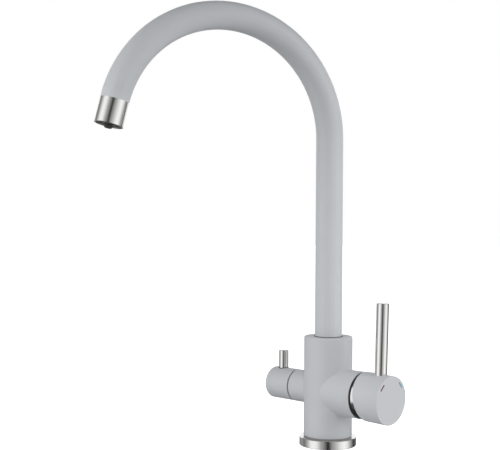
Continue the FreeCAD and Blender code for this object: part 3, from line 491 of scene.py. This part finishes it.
def make_lever_shadow_ring():
    """Dark rubber ring where the short lever goes into its handle, laid on the handle's curve: painted
    shadow for the shade in the gap at the lever's foot.
    """
    low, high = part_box("filter_lever_rod")
    middle = (low[0] + high[0]) / 2.0
    low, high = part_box("filter_handle")
    axis = (low[2] + high[2]) / 2.0
    handle_radius = (high[1] - low[1]) / 2.0
    outlines = []
    for angle in angles(RING_SEGMENTS):
        outline = []
        for radius, lift in LEVER_SHADOW_RING_OUTLINE:
            side = radius * math.sin(angle)
            height = math.sqrt(handle_radius ** 2 - side ** 2) + lift
            outline.append((middle + radius * math.cos(angle), side, axis + height))
        outlines.append(outline)
    ring = closed_ring("filter_lever_shadow_ring", outlines)
    ring.data.materials.append(MATERIALS["rubber"])
    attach(ring, "filter_valve")


def cut_thread(form):
    """Skin of the thread, one row of points for each corner of its outline on each turn."""
    turns = math.ceil((THREAD_TOP - THREAD_END) / THREAD_PITCH) + 1
    rows = []
    for step in range(turns * len(THREAD_OUTLINE)):
        turn, corner = divmod(step, len(THREAD_OUTLINE))
        along, depth = THREAD_OUTLINE[corner]
        row = []
        for number in range(THREAD_SEGMENTS + 1):
            share = number / THREAD_SEGMENTS
            height = THREAD_END + (turn + along + share - 1.0) * THREAD_PITCH
            inside = THREAD_END < height < THREAD_TOP
            radius = THREAD_RADIUS - (depth if inside else 0.0)
            angle = math.tau * share
            height = min(max(height, THREAD_END), THREAD_TOP)
            row.append(form.verts.new((radius * math.cos(angle), radius * math.sin(angle), height)))
        rows.append(row)
    for low, high in zip(rows, rows[1:]):
        for number in range(THREAD_SEGMENTS):
            form.faces.new((low[number], low[number + 1], high[number + 1], high[number]))


def make_shank():
    """Threaded shank in the place of the plain one. The worktop hides it from all that mirrors above."""
    form = bmesh.new()
    cut_thread(form)
    outline = (
        (THREAD_RADIUS, THREAD_TOP),
        (THREAD_RADIUS, SHANK_TOP),
        (SHANK_BORE, SHANK_TOP),
        (SHANK_BORE, SHANK_END),
        (SHANK_TAIL_RADIUS, SHANK_END),
        (SHANK_TAIL_RADIUS, THREAD_END - SHANK_LEAD),
        (THREAD_RADIUS, THREAD_END),
    )
    rings = [circle(form, radius, height, THREAD_SEGMENTS) for radius, height in outline]
    for here, there in zip(rings, rings[1:]):
        bridge(form, here, there)
    bmesh.ops.remove_doubles(form, verts=form.verts, dist=MERGE_DISTANCE)
    bmesh.ops.recalc_face_normals(form, faces=form.faces)
    shank = new_piece("threaded_shank", form)
    shank.visible_glossy = False
    shank.data.materials.append(MATERIALS["brass"])
    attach(shank, "root")
    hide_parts("mounting_shank")


def make_marks():
    """Raised bars on the handle's end face, each with a crown a little wider than its pocket."""
    for node, slot, turn in MARKS:
        low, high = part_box(node)
        centre = (Vector(low) + Vector(high)) / 2.0
        tilt = Matrix.Rotation(math.radians(HANDLE_TILT), 4, "Y")
        place = Matrix.Translation(centre) @ tilt @ Matrix.Rotation(math.radians(turn), 4, "X")
        form = bmesh.new()
        ends = []
        for along in (-MARK_LENGTH / 2.0, MARK_LENGTH / 2.0):
            end = []
            for across, height in MARK_OUTLINE:
                end.append(form.verts.new(place @ Vector((height + MARK_SINK, along, across))))
            ends.append(end)
        bridge(form, *ends)
        for end in ends:
            form.faces.new(end)
        bmesh.ops.recalc_face_normals(form, faces=form.faces)
        bar = new_piece(node.replace("mark", "bar"), form)
        bar.data.materials.append(MATERIALS[slot])
        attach(bar, "mixer_lever")
        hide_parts(node)


def make_camera():
    """Camera of the photograph. A new camera looks straight down, so it is first raised to look level."""
    data = bpy.data.cameras.new("camera")
    data.lens = CAMERA_LENS_MM
    data.sensor_width = CAMERA_SENSOR_MM
    camera = bpy.data.objects.new("camera", data)
    turn = Matrix.Rotation(math.radians(CAMERA_YAW), 4, "Z")
    lift = Matrix.Rotation(math.radians(90.0 + CAMERA_PITCH), 4, "X")
    roll = Matrix.Rotation(math.radians(CAMERA_ROLL), 4, "Z")
    camera.matrix_world = Matrix.Translation(CAMERA_PLACE) @ turn @ lift @ roll
    bpy.context.scene.collection.objects.link(camera)
    bpy.context.scene.camera = camera


def make_floor():
    """Pale worktop at the deck face, with the hole that the shank passes through."""
    form = bmesh.new()
    inner = circle(form, DECK_HOLE_RADIUS, 0.0, FLOOR_SEGMENTS)
    outer = circle(form, FLOOR_RADIUS, 0.0, FLOOR_SEGMENTS)
    bridge(form, outer, inner)
    floor = new_piece("floor", form)
    material, tree, shader = new_material("floor")
    shader.inputs["Base Color"].default_value = FLOOR_COLOUR
    shader.inputs["Roughness"].default_value = FLOOR_ROUGHNESS
    output = tree.nodes["Material Output"]
    path = add(tree, "ShaderNodeLightPath")
    glow = add(tree, "ShaderNodeEmission", Color=WHITE, Strength=FLOOR_GLOW)
    both = add(tree, "ShaderNodeAddShader")
    mix = add(tree, "ShaderNodeMixShader")
    linked(tree, shader.outputs["BSDF"], both.inputs[0])
    linked(tree, glow.outputs["Emission"], both.inputs[1])
    linked(tree, path.outputs["Is Camera Ray"], mix.inputs["Fac"])
    linked(tree, shader.outputs["BSDF"], mix.inputs[1])
    linked(tree, both.outputs["Shader"], mix.inputs[2])
    linked(tree, mix.outputs["Shader"], output.inputs["Surface"])
    floor.data.materials.append(material)
    floor.visible_glossy = False


def make_wall():
    """Round wall of soft boxes and dark gaps, closed but for a window behind. Only gloss sees it."""
    form = bmesh.new()
    rings = [circle(form, WALL_DISTANCE, height, WALL_SEGMENTS) for height in WALL_HEIGHTS]
    foot, sill, lintel, top = rings
    window = []
    for number in range(WALL_SEGMENTS):
        turn = 360.0 * (number + 0.5) / WALL_SEGMENTS
        if min(turn, 360.0 - turn) > WINDOW_ANGLE:
            window.append(number)
    bridge(form, foot, sill)
    bridge(form, sill, lintel, window)
    bridge(form, lintel, top)
    form.faces.new(foot)
    form.faces.new(top)
    wall = new_piece("wall", form)
    wall.rotation_euler.z = math.radians(CAMERA_SIDE)
    wall.data.materials.append(wall_material())
    wall.visible_camera = False
    wall.visible_diffuse = False
    wall.visible_shadow = False
    wall.visible_transmission = False


def band_ramp(tree, angle):
    """Colour ramp of brightness by angle."""
    node = add(tree, "ShaderNodeValToRGB")
    ramp = node.color_ramp
    while len(ramp.elements) < len(BANDS):
        ramp.elements.new(0.5)
    for element, (degrees, level) in zip(ramp.elements, BANDS):
        element.position = (degrees + 180.0) / 360.0
        element.color = (level, level, level, 1.0)
    linked(tree, angle, node.inputs["Fac"])
    return node.outputs["Color"]


def height_step(tree, height, span, low, high):
    """Pass from one value to another between two heights."""
    node = add(tree, "ShaderNodeMapRange")
    for name, setting in zip(("From Min", "From Max", "To Min", "To Max"), (*span, low, high)):
        node.inputs[name].default_value = setting
    linked(tree, height, node.inputs["Value"])
    return node.outputs["Result"]


def wall_material():
    """Light whose brightness changes round the wall, and fades towards its foot and its top."""
    material = bpy.data.materials.new("wall")
    material.use_nodes = True
    tree = material.node_tree
    tree.nodes.clear()
    output = add(tree, "ShaderNodeOutputMaterial")
    place = add(tree, "ShaderNodeTexCoord")
    wheel = add(tree, "ShaderNodeTexGradient", gradient_type="RADIAL")
    parts = add(tree, "ShaderNodeSeparateXYZ")
    fades = add(tree, "ShaderNodeMath", operation="MULTIPLY")
    shine = add(tree, "ShaderNodeEmission")
    linked(tree, place.outputs["Object"], wheel.inputs["Vector"])
    linked(tree, place.outputs["Object"], parts.inputs["Vector"])
    height = parts.outputs["Z"]
    linked(tree, height_step(tree, height, BOTTOM_FADE, BOTTOM_LEVEL, 1.0), fades.inputs[0])
    linked(tree, height_step(tree, height, TOP_FADE, TOP_LEVEL, 1.0), fades.inputs[1])
    linked(tree, band_ramp(tree, wheel.outputs["Fac"]), shine.inputs["Color"])
    linked(tree, fades.outputs["Value"], shine.inputs["Strength"])
    linked(tree, shine.outputs["Emission"], output.inputs["Surface"])
    return material


def make_world():
    """White surround, which lights the object a little and shows white behind it."""
    world = bpy.data.worlds.new("studio")
    bpy.context.scene.world = world
    world.use_nodes = True
    tree = world.node_tree
    tree.nodes.clear()
    output = add(tree, "ShaderNodeOutputWorld")
    path = add(tree, "ShaderNodeLightPath")
    looked_at = add(tree, "ShaderNodeMath", operation="MAXIMUM")
    seen = add(tree, "ShaderNodeMath", operation="MAXIMUM")
    soft = add(tree, "ShaderNodeBackground", Color=WHITE, Strength=ROOM_LIGHT)
    clean = add(tree, "ShaderNodeBackground", Color=WHITE, Strength=1.0)
    mix = add(tree, "ShaderNodeMixShader")
    linked(tree, path.outputs["Is Camera Ray"], looked_at.inputs[0])
    linked(tree, path.outputs["Is Glossy Ray"], looked_at.inputs[1])
    linked(tree, looked_at.outputs["Value"], seen.inputs[0])
    linked(tree, path.outputs["Is Transmission Ray"], seen.inputs[1])
    linked(tree, seen.outputs["Value"], mix.inputs["Fac"])
    linked(tree, soft.outputs["Background"], mix.inputs[1])
    linked(tree, clean.outputs["Background"], mix.inputs[2])
    linked(tree, mix.outputs["Shader"], output.inputs["Surface"])


def make_lamps():
    """Soft boxes round the tap, each given by its angle from the camera's side."""
    for name, height, distance, angle, rise, size, power, beam in LAMPS:
        data = bpy.data.lights.new(name, "AREA")
        data.shape = "DISK"
        data.size = size
        data.energy = power
        data.spread = math.radians(beam)
        lamp = bpy.data.objects.new(name, data)
        direction = math.radians(CAMERA_SIDE + angle)
        away = Vector((math.cos(direction), math.sin(direction), math.tan(math.radians(rise))))
        lamp.location = Vector((0.0, 0.0, height)) + away.normalized() * distance
        lamp.rotation_euler = away.to_track_quat("Z", "Y").to_euler()
        lamp.visible_glossy = False
        bpy.context.scene.collection.objects.link(lamp)


dress_cad_nodes()
make_spout_shadow_ring()
make_lever_shadow_ring()
make_shank()
make_marks()
make_camera()
make_floor()
make_wall()
make_world()
make_lamps()

bpy.context.scene.view_settings.view_transform = "Standard"
